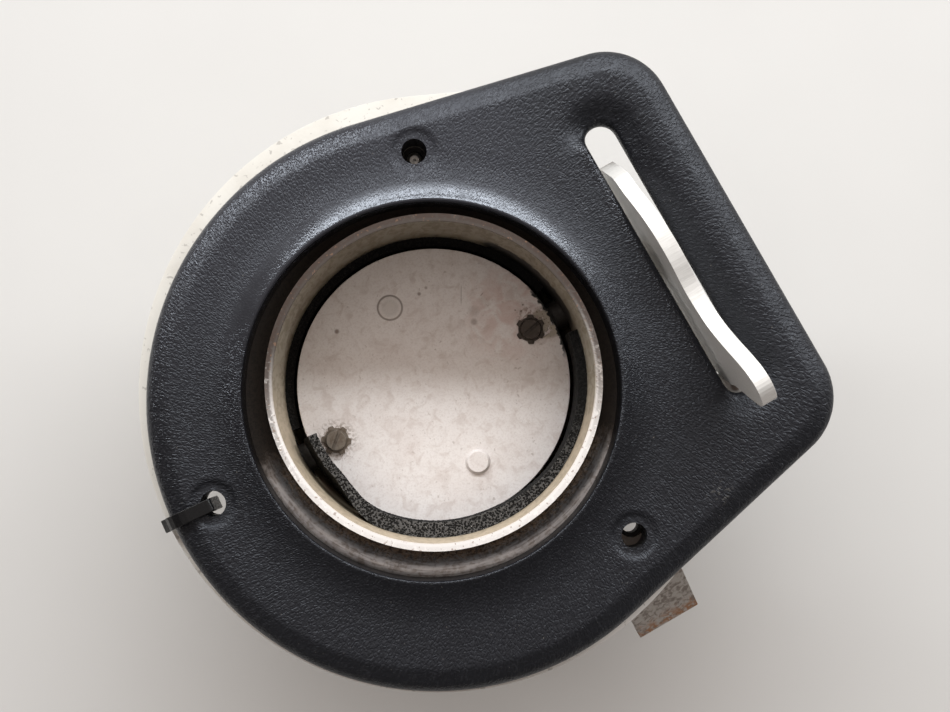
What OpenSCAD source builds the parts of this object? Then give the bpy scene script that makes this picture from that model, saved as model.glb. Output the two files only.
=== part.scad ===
// Cabin air vent with a butterfly disc in a round duct.
// The duct runs along Z. The origin is the centre of its rear end, the face is up and the lever is at +X.

/* [Duct collar] */
// Bore radius of the duct
duct_bore_r = 31.75; // [28:0.25:34]
// Wall of the duct
duct_wall = 1.5; // [1.2:0.1:2]
// Length of the duct from its rear end to its rim
duct_len = 60; // [58:0.5:70]
// Chamfer inside the rear end of the duct
spigot_chamfer = 0.5; // [0.2:0.1:0.8]
// Length of the rear end that a hose slides over
hose_len = 18; // [16:0.5:18.5]
// Width of the bead that stops the hose
hose_bead_w = 2; // [1.5:0.25:2.5]
// How far the bead stands out of the duct's wall
hose_bead_h = 1.2; // [0.8:0.1:1.5]
// Radius of the gutter between the duct and the foot
cove_r = 4; // [3:0.25:4.5]
// Thickness of the collar's foot
foot_t = 2.5; // [2:0.25:3]
// How thick the foot stays under the gutter
gutter_floor = 1.1; // [0.8:0.1:1.4]
// Width of the foot outside the gutter
foot_land = 0.7; // [0.5:0.1:0.9]
// Radius of the rivet ears on the foot
ear_r = 4.6; // [4.2:0.1:5]
// How far the ear rivets lie outside the foot's edge
ear_out = 3.6; // [3.4:0.1:3.9]
// Radius of the two shaft bosses
boss_r = 7.5; // [6.5:0.25:9]
// How far the bosses stand out of the duct's wall
boss_h = 6.75; // [5:0.25:8]

/* [Mounting plate] */
// Depth of the plate's face below the rim
plate_depth = 11.5; // [10.5:0.25:12.5]
// Thickness of the plate
plate_t = 2; // [1.5:0.1:2.5]
// How far the plate's round end reaches past the bezel's
plate_over = 2.8; // [2:0.1:4]
// How far the plate's centre lies below the duct's axis
plate_drop = 2; // [0:0.25:3]
// Distance of the plate's straight end from the duct's axis
plate_reach = 66; // [62:0.5:68]
// Taper of the plate's two sides
plate_taper = 24; // [20:1:28]
// Radius of the plate's two corners
plate_corner_r = 7; // [5:0.5:10]
// Width of the window that the lever passes
window_w = 10; // [9:0.25:11]
// How far the window runs below the duct's axis, where it stops the lever
window_low = 27.5; // [27.3:0.1:28.5]
// How far the window runs above the duct's axis
window_high = 31.5; // [31:0.1:33]

/* [Bezel] */
// Width of the bezel's band round the opening
bezel_band = 20.6; // [19.6:0.1:22]
// Distance of the bezel's straight side from the duct's axis
bezel_reach = 71.5; // [70:0.5:75]
// Taper of the bezel's two sides
bezel_taper = 12.7; // [10:0.1:15]
// Radius of the bezel's two corners
bezel_corner_r = 13.4; // [11:0.2:16]
// Height of the bezel's flat above the plate
bezel_h = 9; // [8.5:0.25:10]
// Wall of the bezel
bezel_wall = 2.2; // [1.8:0.1:2.6]
// Radius of the bezel's outer edge
edge_r = 4; // [3:0.25:5]
// Gap between the duct and the opening round it
lip_gap = 4.15; // [3.6:0.05:4.6]
// Height of the lip above the bezel's flat
lip_rise = 2.9; // [2:0.1:3.5]
// Width of the slope up to the lip
lip_slope = 7.5; // [6:0.25:9]
// How deep the skirt inside the opening hangs below the bezel's flat
skirt_h = 6; // [4.5:0.25:6]
// How far the loose bezel sits off the duct's centre along X
slip_x = -1.2; // [-1.4:0.1:0]
// How far the loose bezel sits off the duct's centre along Y
slip_y = -1.3; // [-1.4:0.1:0]

/* [Lever slot] */
// How far the middle of the slot lies outside the lever, as seen from the bezel's centre
slot_out = 1.6; // [1.3:0.1:1.7]
// How far the middle of the slot lies below the bezel's centre
slot_drop = 0.55; // [0.4:0.05:0.7]
// Length of the slot
slot_len = 61.2; // [61:0.2:62]
// Width of the slot
slot_w = 6.8; // [6.7:0.1:7]
// Depth of the wall round the slot below the bezel's flat
slot_wall_h = 5; // [3:0.25:6]
// Wall round the slot
slot_wall = 1.6; // [1.2:0.1:2]

/* [Face screws] */
// Distance of the screws' circle from the edge of the bezel's round end
screw_inset = 9.4; // [9.2:0.1:10.2]
// Angle of the upper and lower screws from the lever
screw_angle = 65; // [60:1:68]
// Angle of the screw opposite the lever
far_screw_angle = 176.6; // [170:0.2:185]
// How far the screws lie below the duct's axis
fixing_drop = 0.8; // [0:0.1:1.2]
// Radius of the screw holes
screw_hole_r = 2.55; // [2.5:0.05:2.8]
// Radius of the bosses round the screw holes
screw_boss_r = 4.3; // [4:0.1:4.4]
// Depth of the dimple round each screw hole
dimple_h = 0.5; // [0.3:0.1:0.8]
// How far the plate's lower hole misses the bezel's, along X and along Y
low_hole_miss = 1.2; // [0:0.1:1.4]

/* [Disc and shaft] */
// Gap between the disc's edge and the seal strips
disc_gap = 0.6; // [0.5:0.05:1]
// Thickness of the disc
disc_t = 1.3; // [1:0.1:1.6]
// Depth of the disc's face below the rim
disc_depth = 26.7; // [26:0.1:28]
// Radius of the shaft
shaft_r = 3.175; // [2.9:0.025:3.3]
// Depth of the flat that the disc sits on
shaft_flat = 1; // [0.6:0.1:1.2]
// Running clearance of the shaft in its bushes
run_gap = 0.045; // [0.02:0.005:0.09]
// Distance of the disc's screws from its centre
disc_screw_x = 23.8; // [20:0.2:24]
// Distance of the disc's rivets from its centre
disc_rivet_y = 18.9; // [15:0.1:21]
// Width of the strap behind the disc
strap_w = 12; // [9:0.5:15]
// Thickness of the strap behind the disc
strap_t = 1.2; // [0.8:0.1:1.6]

/* [Lever] */
// Distance of the lever from the duct's axis
lever_x = 53; // [52:0.25:55]
// Thickness of the lever
lever_t = 3.2; // [2.5:0.1:3.3]
// Radius of the lever's hub
lever_hub_r = 7; // [6:0.25:8]
// How far the tip of the lever lies below the shaft's axis, along Y
tip_y = 35.2; // [34.5:0.1:36]
// Height of the lever's tab above the shaft's axis
tab_z = 46.8; // [45:0.2:48]

/* [Seal strips] */
// Thickness of the foam strips
strip_t = 2; // [1.6:0.1:2.2]
// How much the front strip bulges where its glue lets go
strip_bulge = 1.3; // [0.6:0.1:1.5]
// Height of the foam strips
strip_h = 10.4; // [8:0.1:12]
// Gap between the disc's plane and each strip
strip_gap = 0.3; // [0.2:0.1:1]
// Angle at which the front strip comes away from the wall
peel_angle = 220; // [215:0.5:222]
// How far the loose end stands off the wall
peel_gap = 3.2; // [2.5:0.1:3.8]

/* [Side clip] */
// Distance of the clip from the duct's axis, along X
clip_x = 18.2; // [17.6:0.1:19]
// Width of the clip
clip_w = 14; // [13:0.2:15]
// Thickness of the clip
clip_t = 1.6; // [1.2:0.1:2]
// Distance of the clip's rivets from the plate's edge
clip_rivet_in = 7.8; // [7.6:0.1:8]
// Spacing of the clip's two rivets
clip_pitch = 5.2; // [5:0.2:6]
// How far the clip runs past its rivets
clip_land = 2.2; // [2:0.1:2.4]
// How far inside the plate's edge the clip bends
clip_bend_in = 1.5; // [1:0.1:2]
// How far the clip's leg reaches past the plate's edge
clip_out = 6.5; // [4:0.5:9]
// How far the clip's leg drops below the plate
clip_down = 8; // [5:0.5:10]

/* [Cable tie] */
// Width of the tie
tie_w = 2.7; // [2.3:0.1:3]
// Thickness of the tie
tie_t = 0.9; // [0.7:0.1:1.1]
// Size of the tie's head
tie_head = 4.6; // [4:0.1:5.5]
// Height of the tie's head
tie_head_h = 3.2; // [2.5:0.1:4]
// Distance of the tie's head from the screw hole
tie_head_out = 6; // [4.5:0.1:8]

/* [Hidden] */

$fn = 96;
// Overlap that keeps cuts clear of coplanar faces
cut = 1;
// Clearance between a piece and the hole it sits in
fit_gap = 0.05;
// Clearance between pieces that lie along each other
lay_gap = 0.1;

// Levels along Z
rim_z = duct_len;
plate_top = rim_z - plate_depth;
plate_low = plate_top - plate_t;
foot_top = plate_top + foot_t;
face_z = plate_top + bezel_h;
lip_z = face_z + lip_rise;
skirt_z = face_z - skirt_h;
disc_top = rim_z - disc_depth;
disc_low = disc_top - disc_t;
shaft_z = disc_low - shaft_r + shaft_flat;

// Radii of the collar
duct_r = duct_bore_r + duct_wall;
lip_r = duct_r + lip_gap;
bezel_r = lip_r + bezel_band;
plate_r = bezel_r + plate_over;
screw_circle_r = bezel_r - screw_inset;
strip_wall_r = duct_bore_r - fit_gap;
disc_r = strip_wall_r - strip_t - disc_gap;
slot_x = lever_x + slot_out;
gutter_r = duct_r + cove_r;
gutter_z = plate_top + gutter_floor + cove_r;
gutter_edge_r = gutter_r + sqrt(pow(cove_r, 2) - pow(gutter_z - foot_top, 2));
foot_r = gutter_edge_r + foot_land;
ear_circle_r = foot_r + ear_out;
ear_angles = [30, 121, 239, 330];
boss_x = duct_r + boss_h;

// Bushes
bush_r = 5;
bush_flange_r = 6.5;
bush_flange_t = 1;
bush_x = boss_x + bush_flange_t;
bush_bore_r = shaft_r + run_gap;

// Places of the face screws, from the bezel's centre
near_screws = [for (s = [1, -1])
    [screw_circle_r * cos(screw_angle), s * screw_circle_r * sin(screw_angle) - fixing_drop]];
far_screw = [screw_circle_r * cos(far_screw_angle), screw_circle_r * sin(far_screw_angle) - fixing_drop];
face_screws = [near_screws[0], near_screws[1], far_screw];

// Places of the holes behind them, from the duct's axis
bezel_off = [slip_x, slip_y];
near_holes = [near_screws[0] + bezel_off, near_screws[1] + bezel_off + low_hole_miss * [1, 1]];
far_hole = far_screw + bezel_off;

// Rivets: radius of the shank, then radius and height of the head
rivet_r = 1.6;
rivet_head_r = 2.7;
small_rivet_r = 1.2;
small_head_r = 1.6;
head_h = 0.9;
flush_h = 0.15;
tail_h = 1;

// Disc screws and their toothed washers
disc_screw_r = 1.42;
disc_screw_head_r = 2.35;
disc_screw_head_h = 1.5;
disc_screw_slot_w = 0.7;
disc_screw_slot_h = 0.8;
star_r = 3.15;
star_ring_r = 2.65;
star_t = 0.5;
star_teeth = 6;

// Ends of the shaft
washer_t = 0.6;
clip_groove_r = 2.4;
ring_t = 0.8;
shaft_far_x = bush_x + 3.2;
lever_low_x = lever_x - lever_t / 2;
lever_high_x = lever_x + lever_t / 2;
shaft_end_r = 2.5;
shaft_end_flat = 4;
lever_washer_t = 0.8;
lever_washer_r = 5;
nut_t = 3.2;
nut_w = 8;
shaft_end_x = lever_high_x + lever_washer_t + nut_t + 1.2;
spring_t = 0.4;
spring_rise = 0.9;
spacer_r = 5.2;

// Nutplates
nutplate_pitch = 17;
nutplate_w = 7;
nutplate_t = 1;
nut_body_r = 3.2;
nut_body_h = 4;
nut_thread_r = 1.75;
stub_tip_r = 0.95;

// Outline of a plate that is round at one end and squared at the other.
// The angle a is where the round end turns into the tapered side.
function arc(c, r, a0, a1, n) = [for (i = [0:n])
    c + r * [cos(a0 + (a1 - a0) * i / n), sin(a0 + (a1 - a0) * i / n)]];
function teardrop(r, reach, taper, corner) =
    let (a = 90 - taper,
         cx = reach - corner,
         cy = (r - corner - cx * cos(a)) / sin(a))
    concat(arc([0, 0], r, a, 360 - a, 72), arc([cx, -cy], corner, -a, 0, 10), arc([cx, cy], corner, 0, a, 10));

// Smooth curve through points, for the lever's outline
function blend(p0, p1, p2, p3, t) = 0.5 * (2 * p1 + (p2 - p0) * t + (2 * p0 - 5 * p1 + 4 * p2 - p3) * t * t
    + (3 * p1 - p0 - 3 * p2 + p3) * t * t * t);
function smooth(p, n) = let (m = len(p)) [for (i = [0:m - 1], k = [0:n - 1])
    blend(p[(i + m - 1) % m], p[i], p[(i + 1) % m], p[(i + 2) % m], k / n)];
// Rises smoothly from 0 to 1
function ease(t) = let (u = min(1, max(0, t))) u * u * (3 - 2 * u);

module slot2d(length, width) {
    for (s = [1, -1]) translate([0, s * (length - width) / 2]) circle(r = width / 2);
    square([width, length - width], center = true);
}

// A cylinder along X between two places
module x_cylinder(x0, x1, r) {
    translate([x0, 0, shaft_z]) rotate([0, 90, 0]) cylinder(h = x1 - x0, r = r);
}

// The face's outline, smaller by inset, from one level to another
module face_block(inset, z0, z1) {
    translate([0, -plate_drop, z0]) linear_extrude(z1 - z0)
        polygon(teardrop(bezel_r - inset, bezel_reach - inset, bezel_taper, bezel_corner_r - inset));
}

// The face as a solid block with its edge rounded
module rounded_face(inset, radius, z0, z1) {
    hull() {
        face_block(inset, z0, z1 - radius);
        for (a = [18:18:90]) face_block(inset + radius * (1 - cos(a)), z0, z1 - radius * (1 - sin(a)));
    }
}

// The lip that rises round the duct, with the skirt inside it
module lip_ring() {
    steps = 8;
    nose = bezel_wall;
    flat_r = lip_r + nose + lip_slope;
    outer = [for (i = [0:steps]) [flat_r - lip_slope * i / steps,
        face_z + lip_rise * (1 - cos(180 * i / steps)) / 2]];
    front = arc([lip_r + nose, lip_z - nose], nose, 100, 180, 6);
    inner = [for (i = [steps:-1:0]) [flat_r - lip_slope * i / steps,
        face_z - bezel_wall + (lip_rise - 0.6) * (1 - cos(180 * i / steps)) / 2]];
    rotate_extrude() polygon(concat(
        [[flat_r + cut, face_z - bezel_wall], [flat_r + cut, face_z]],
        outer, front, [[lip_r, skirt_z], [lip_r + nose, skirt_z]], inner));
}

module bezel() {
    flat_r = lip_r + bezel_wall + lip_slope;
    color("#1b1d20") translate([slip_x, slip_y, 0]) difference() {
        union() {
            difference() {
                rounded_face(0, edge_r, plate_top, face_z);
                rounded_face(bezel_wall, edge_r - bezel_wall, plate_top - cut, face_z - bezel_wall);
                translate([0, 0, face_z - bezel_wall - cut]) cylinder(h = bezel_wall + 2 * cut, r = flat_r);
            }
            lip_ring();
            for (p = face_screws) translate([p[0], p[1], plate_top])
                cylinder(h = face_z - bezel_wall / 2 - plate_top, r = screw_boss_r);
            translate([slot_x, -slot_drop, face_z - slot_wall_h]) linear_extrude(slot_wall_h - bezel_wall / 2)
                slot2d(slot_len + 2 * slot_wall, slot_w + 2 * slot_wall);
        }
        translate([slot_x, -slot_drop, face_z - slot_wall_h - cut]) linear_extrude(slot_wall_h + 2 * cut)
            slot2d(slot_len, slot_w);
        for (p = face_screws) translate([p[0], p[1], 0]) {
            translate([0, 0, plate_top - cut]) cylinder(h = bezel_h + lip_rise + 2 * cut, r = screw_hole_r);
            translate([0, 0, face_z - dimple_h]) cylinder(h = dimple_h + lip_rise, r = screw_boss_r);
        }
    }
}

module mounting_plate() {
    window_len = window_low + window_high;
    color("#d9d5c8") difference() {
        translate([0, -plate_drop, plate_low]) linear_extrude(plate_t)
            polygon(teardrop(plate_r, plate_reach, plate_taper, plate_corner_r));
        translate([0, 0, plate_low - cut]) {
            cylinder(h = plate_t + 2 * cut, r = duct_r + lay_gap);
            translate([lever_x, (window_high - window_low) / 2, 0]) linear_extrude(plate_t + 2 * cut)
                slot2d(window_len, window_w);
            for (p = [near_holes[0], near_holes[1], far_hole]) translate(p)
                cylinder(h = plate_t + 2 * cut, r = screw_hole_r + fit_gap);
            for (a = ear_angles) rotate([0, 0, a]) translate([ear_circle_r, 0, 0])
                cylinder(h = plate_t + 2 * cut, r = rivet_r + fit_gap);
            for (p = near_holes, s = [1, -1]) translate([p[0] + s * nutplate_pitch / 2, p[1], 0])
                cylinder(h = plate_t + 2 * cut, r = small_rivet_r + fit_gap);
            for (p = clip_rivets) translate(p) cylinder(h = plate_t + 2 * cut, r = small_rivet_r + fit_gap);
        }
    }
}

module duct_collar() {
    color("#b9b3a8") difference() {
        union() {
            cylinder(h = rim_z, r = duct_r);
            translate([0, 0, hose_len]) cylinder(h = hose_bead_w, r = duct_r + hose_bead_h);
            difference() {
                union() {
                    translate([0, 0, plate_top]) cylinder(h = gutter_z - plate_top, r = gutter_r);
                    translate([0, 0, plate_top]) cylinder(h = foot_t, r = foot_r);
                    for (a = ear_angles) rotate([0, 0, a]) translate([ear_circle_r, 0, plate_top])
                        cylinder(h = foot_t, r = ear_r);
                }
                translate([0, 0, gutter_z]) rotate_extrude() translate([gutter_r, 0]) circle(r = cove_r);
                for (a = ear_angles) rotate([0, 0, a]) translate([ear_circle_r, 0, plate_top - cut])
                    cylinder(h = foot_t + 2 * cut, r = rivet_r + fit_gap);
            }
            x_cylinder(-boss_x, boss_x, boss_r);
        }
        translate([0, 0, -cut]) cylinder(h = rim_z + 2 * cut, r = duct_bore_r);
        translate([0, 0, -spigot_chamfer])
            cylinder(h = 2 * spigot_chamfer, r1 = duct_bore_r + 2 * spigot_chamfer, r2 = duct_bore_r);
        x_cylinder(-boss_x - cut, boss_x + cut, bush_r + fit_gap);
    }
}

// A rivet standing on a surface at z, through a stack of the given thickness
module rivet(shank, head, stack, top_h) {
    translate([0, 0, -stack - tail_h]) cylinder(h = tail_h, r = head * 0.85);
    translate([0, 0, -stack]) cylinder(h = stack, r = shank);
    cylinder(h = top_h, r1 = head, r2 = head * 0.8);
}

module collar_rivets() {
    color("#a9a9a6") for (a = ear_angles) rotate([0, 0, a]) translate([ear_circle_r, 0, foot_top])
        rivet(rivet_r, rivet_head_r, foot_t + plate_t, head_h);
}

// The ball that the turning disc stays inside, with room round it
module disc_room() {
    reach = sqrt(pow(disc_r, 2) + pow(disc_top - shaft_z, 2));
    translate([0, 0, shaft_z]) sphere(r = reach + 0.3, $fn = 180);
}

// The front strip's outer and inner radius at an angle: on the wall, then bulging, then peeled off it
function front_outer(a) = strip_wall_r - peel_gap * ease((peel_angle - a) / 28);
function front_inner(a) = front_outer(a) - strip_t - strip_bulge * ease((300 - a) / 40) * ease((a - 192) / 28);

module front_seal_strip() {
    ends = [173, 351];
    step = 4.45;
    color("#2c2c2c") difference() {
        translate([0, 0, disc_top + strip_gap]) linear_extrude(strip_h) polygon(concat(
            [for (a = [ends[0]:step:ends[1]]) front_outer(a) * [cos(a), sin(a)]],
            [for (a = [ends[1]:-step:ends[0]]) front_inner(a) * [cos(a), sin(a)]]));
        disc_room();
    }
}

module rear_seal_strip() {
    color("#2c2c2c") translate([0, 0, disc_low - strip_gap - strip_h]) rotate([0, 0, 12])
        rotate_extrude(angle = 156) translate([strip_wall_r - strip_t, 0]) square([strip_t, strip_h]);
}

module damper_disc() {
    color("#d8cfcb") translate([0, 0, disc_low]) difference() {
        cylinder(h = disc_t, r = disc_r);
        for (s = [1, -1]) {
            translate([s * disc_screw_x, 0, -cut]) cylinder(h = disc_t + 2 * cut, r = disc_screw_r + fit_gap);
            translate([0, s * disc_rivet_y, -cut]) cylinder(h = disc_t + 2 * cut, r = rivet_r + fit_gap);
        }
    }
}

// Strap behind the disc: flat wings under the disc and a loop round the shaft
module disc_strap() {
    loop_r = shaft_r + fit_gap;
    wing = disc_rivet_y + rivet_head_r + 1;
    color("#a8a5a0") difference() {
        translate([-strap_w / 2, 0, shaft_z]) rotate([90, 0, 90]) linear_extrude(strap_w) difference() {
            union() {
                translate([-wing, disc_low - shaft_z - strap_t]) square([2 * wing, strap_t]);
                circle(r = loop_r + strap_t);
            }
            circle(r = loop_r);
            translate([-wing, disc_low - shaft_z]) square([2 * wing, shaft_r * 2]);
        }
        for (s = [1, -1]) translate([0, s * disc_rivet_y, disc_low - strap_t - cut])
            cylinder(h = strap_t + 2 * cut, r = rivet_r + fit_gap);
    }
}

module disc_rivets() {
    color("#cfcac6") {
        translate([0, disc_rivet_y, disc_top]) rivet(rivet_r, rivet_head_r, disc_t + strap_t, flush_h);
        translate([0, -disc_rivet_y, disc_top]) rivet(rivet_r, rivet_head_r, disc_t + strap_t, head_h);
    }
}

module disc_screws() {
    length = disc_t + star_t + 2 * shaft_r - shaft_flat;
    color("#5b4d40") for (s = [1, -1]) translate([s * disc_screw_x, 0, disc_top + star_t]) {
        translate([0, 0, -length]) cylinder(h = length, r = disc_screw_r);
        difference() {
            cylinder(h = disc_screw_head_h, r1 = disc_screw_head_r, r2 = disc_screw_head_r * 0.85);
            rotate([0, 0, 25 - 15 * s]) translate([0, 0, disc_screw_head_h])
                cube([disc_screw_head_r * 3, disc_screw_slot_w, 2 * disc_screw_slot_h], center = true);
        }
    }
}

module disc_star_washers() {
    color("#6b5c4c") for (s = [1, -1]) translate([s * disc_screw_x, 0, disc_top]) linear_extrude(star_t)
        difference() {
            union() {
                circle(r = star_ring_r);
                for (i = [0:star_teeth - 1]) rotate(14 - 12 * s + i * 360 / star_teeth)
                    polygon([[star_ring_r - 0.3, -0.8], [star_r, -0.55],
                        [star_r, 0.55], [star_ring_r - 0.3, 0.8]]);
            }
            circle(r = disc_screw_r + fit_gap);
        }
}

module damper_shaft() {
    flat_x = disc_r + 0.5;
    color("#8f8f8c") difference() {
        union() {
            x_cylinder(-shaft_far_x, lever_low_x - fit_gap, shaft_r);
            intersection() {
                x_cylinder(lever_low_x - cut, shaft_end_x, shaft_end_r);
                translate([lever_low_x - cut, -shaft_end_r - cut, shaft_z - shaft_end_flat / 2])
                    cube([shaft_end_x, 2 * shaft_end_r + 2 * cut, shaft_end_flat]);
            }
        }
        translate([-flat_x, -shaft_r - cut, disc_low]) cube([2 * flat_x, 2 * shaft_r + 2 * cut, shaft_r]);
        for (s = [1, -1]) translate([s * disc_screw_x, 0, shaft_z - shaft_r - cut])
            cylinder(h = 2 * shaft_r + 2 * cut, r = disc_screw_r + fit_gap);
        difference() {
            x_cylinder(-bush_x - lay_gap - washer_t - ring_t - 2 * fit_gap,
                -bush_x - lay_gap - washer_t, shaft_r + cut);
            x_cylinder(-shaft_far_x, -bush_x, clip_groove_r);
        }
    }
}

// A flanged bush on the +X side, which the far side mirrors
module bush() {
    difference() {
        union() {
            x_cylinder(duct_bore_r, boss_x, bush_r);
            x_cylinder(boss_x, bush_x, bush_flange_r);
        }
        x_cylinder(duct_bore_r - cut, bush_x + cut, bush_bore_r);
        translate([0, 0, shaft_z - bush_r - cut]) cylinder(h = 2 * bush_r + 2 * cut, r = duct_bore_r);
    }
}

module inner_bush() {
    color("#9a7b4a") mirror([1, 0, 0]) bush();
}

module outer_bush() {
    color("#9a7b4a") bush();
}

module shaft_end_washer() {
    x = bush_x + fit_gap;
    color("#b0b0ae") difference() {
        x_cylinder(-x - washer_t, -x, bush_flange_r - 0.5);
        x_cylinder(-x - washer_t - cut, -x + cut, shaft_r + fit_gap);
    }
}

module shaft_clip() {
    x0 = -bush_x - lay_gap - washer_t - fit_gap;
    color("#4a4a48") difference() {
        x_cylinder(x0 - ring_t, x0, shaft_r + 2);
        x_cylinder(x0 - ring_t - cut, x0 + cut, clip_groove_r + fit_gap);
        translate([x0 - ring_t - cut, -clip_groove_r * 0.8, shaft_z])
            cube([ring_t + 2 * cut, clip_groove_r * 1.6, shaft_r + 3]);
    }
}

// Coned friction washer between the outer bush and the lever's spacer
module spring_washer() {
    r1 = shaft_r + fit_gap;
    r2 = bush_flange_r - 0.3;
    color("#77756f") translate([bush_x + fit_gap, 0, shaft_z]) rotate([0, 90, 0]) rotate_extrude()
        polygon([[r1, spring_rise - spring_t], [r2, 0], [r2, spring_t], [r1, spring_rise]]);
}

module lever_spacer() {
    x0 = bush_x + spring_rise + 2 * fit_gap;
    color("#a9a59e") difference() {
        x_cylinder(x0, lever_low_x, spacer_r);
        x_cylinder(x0 - cut, lever_low_x + cut, shaft_r + fit_gap);
    }
}

// Outline of the lever: Y, then the height above the shaft's axis
lever_outline = smooth([
    [5.6, -4], [11.5, 2.5], [18.6, 9.6], [21.5, 16.1], [19.8, 21.4], [17.4, 26.2], [13.6, 28.4], [10.2, 31],
    [6.4, 33.4], [2.2, 34.5], [-2.8, 34.5], [-8.5, 33], [-12.6, 33.3], [-16.4, 34.5], [-19.4, 36.6],
    [-22.6, tab_z - 6.9], [-25.6, tab_z - 3.3], [-28.6, tab_z - 0.6], [3.4 - tip_y, tab_z],
    [0.8 - tip_y, tab_z - 1.8], [-tip_y, tab_z - 4.8], [1.4 - tip_y, tab_z - 9.4],
    [-31.6, 32], [-30.3, 28.4], [-29.4, 24], [-24, 14], [-14, 4], [-6.6, -2.6], [0, -5]], 4);

module lever() {
    color("#dedcd8") translate([lever_low_x, 0, shaft_z]) rotate([90, 0, 90]) linear_extrude(lever_t) difference() {
        union() {
            polygon(lever_outline);
            circle(r = lever_hub_r);
        }
        intersection() {
            circle(r = shaft_end_r + fit_gap);
            square([3 * shaft_end_r, shaft_end_flat + 2 * fit_gap], center = true);
        }
    }
}

module lever_washer() {
    color("#b0b0ae") difference() {
        x_cylinder(lever_high_x, lever_high_x + lever_washer_t, lever_washer_r);
        x_cylinder(lever_high_x - cut, lever_high_x + lever_washer_t + cut, shaft_end_r + fit_gap);
    }
}

module lever_nut() {
    x0 = lever_high_x + lever_washer_t;
    color("#8c8a84") difference() {
        translate([x0, 0, shaft_z]) rotate([0, 90, 0]) cylinder(h = nut_t, r = nut_w / 2 / cos(30), $fn = 6);
        x_cylinder(x0 - cut, x0 + nut_t + cut, shaft_end_r + fit_gap);
    }
}

module nutplates() {
    color("#8b8574") for (p = near_holes) translate([p[0], p[1], plate_low]) difference() {
        union() {
            translate([0, 0, -nutplate_t]) linear_extrude(nutplate_t) rotate(90)
                slot2d(nutplate_pitch + nutplate_w * 0.7, nutplate_w);
            translate([0, 0, -nut_body_h]) cylinder(h = nut_body_h, r = nut_body_r);
        }
        translate([0, 0, -nut_body_h - cut]) cylinder(h = nut_body_h + 2 * cut, r = nut_thread_r);
        for (s = [1, -1]) translate([s * nutplate_pitch / 2, 0, -nutplate_t - cut])
            cylinder(h = nutplate_t + 2 * cut, r = small_rivet_r + fit_gap);
    }
}

module nutplate_rivets() {
    color("#c4c2bc") for (p = near_holes, s = [1, -1])
        translate([p[0] + s * nutplate_pitch / 2, p[1], plate_top])
            rivet(small_rivet_r, small_head_r, plate_t + nutplate_t, head_h * 0.6);
}

// The end of a broken screw, left in the upper nutplate
module screw_stub() {
    r = nut_thread_r - fit_gap;
    low = plate_low - nut_body_h;
    color("#8f8c86") translate([near_holes[0][0], near_holes[0][1], 0]) difference() {
        union() {
            translate([0, 0, low]) cylinder(h = nut_body_h - 0.8, r = r);
            translate([0, 0, plate_low - 0.8]) cylinder(h = 0.7, r1 = r, r2 = stub_tip_r);
        }
        translate([0, 0, plate_low - 0.4]) cylinder(h = 0.5, r1 = 0, r2 = 0.5);
    }
}

// The clip lies flat under the plate and bends down and out past its edge
clip_edge_y = plate_drop + sqrt(pow(plate_r, 2) - pow(clip_x, 2));
clip_rivet_y = clip_edge_y - clip_rivet_in;
clip_rivets = [for (s = [1, -1]) [clip_x + s * clip_pitch / 2, -clip_rivet_y]];

module side_bracket() {
    y0 = clip_rivet_y - clip_land;
    y1 = clip_edge_y - clip_bend_in;
    y2 = clip_edge_y + clip_out;
    thick = clip_t * 1.25;
    color("#7d6a58") difference() {
        translate([clip_x - clip_w / 2, 0, plate_low]) rotate([90, 0, 90]) linear_extrude(clip_w) polygon([
            [-y0, 0], [-y0, -clip_t], [-y1 + clip_t / 2, -clip_t], [-y2, -clip_down - thick],
            [-y2 - clip_t * 0.8, -clip_down - thick + 1], [-y1, 0]]);
        for (p = clip_rivets) translate([p[0], p[1], plate_low - clip_t - cut])
            cylinder(h = clip_t + 2 * cut, r = small_rivet_r + fit_gap);
    }
}

module side_bracket_rivets() {
    color("#a9a59e") for (p = clip_rivets) translate([p[0], p[1], plate_top])
        rivet(small_rivet_r, small_head_r, plate_t + clip_t, head_h);
}

// The tie goes down the far screw hole, straight out under the plate and back over the bezel's edge
module cable_tie() {
    middle = [slip_x, slip_y - plate_drop];
    way = far_hole - middle;
    turn = atan2(way[1], way[0]);
    in_s = norm(way) + tie_t;
    plate_s = plate_r - slip_x * cos(turn) - slip_y * sin(turn) + lay_gap;
    bezel_s = bezel_r + lay_gap;
    top = face_z + 2 * lay_gap;
    low = plate_low - 2 * lay_gap;
    path = concat(
        [[in_s, top], [in_s, low], [plate_s, low], [plate_s, plate_top + 1], [bezel_s, plate_top + 3]],
        arc([bezel_s - edge_r, top - edge_r], edge_r, 0, 90, 5));
    color("#17181a") translate([middle[0], middle[1], 0]) rotate([0, 0, turn]) {
        translate([0, tie_w / 2, 0]) rotate([90, 0, 0]) linear_extrude(tie_w) difference() {
            offset(r = tie_t, $fn = 24) polygon(path);
            polygon(path);
        }
        translate([in_s + tie_head_out - tie_head / 2, -tie_head / 2, low - tie_t / 2 - tie_head_h])
            cube([tie_head, tie_head, tie_head_h]);
    }
}

bezel();
mounting_plate();
duct_collar();
collar_rivets();
front_seal_strip();
rear_seal_strip();
damper_disc();
disc_strap();
disc_rivets();
disc_screws();
disc_star_washers();
damper_shaft();
inner_bush();
outer_bush();
shaft_end_washer();
shaft_clip();
spring_washer();
lever_spacer();
lever();
lever_washer();
lever_nut();
nutplates();
nutplate_rivets();
screw_stub();
side_bracket();
side_bracket_rivets();
cable_tie();
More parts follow.
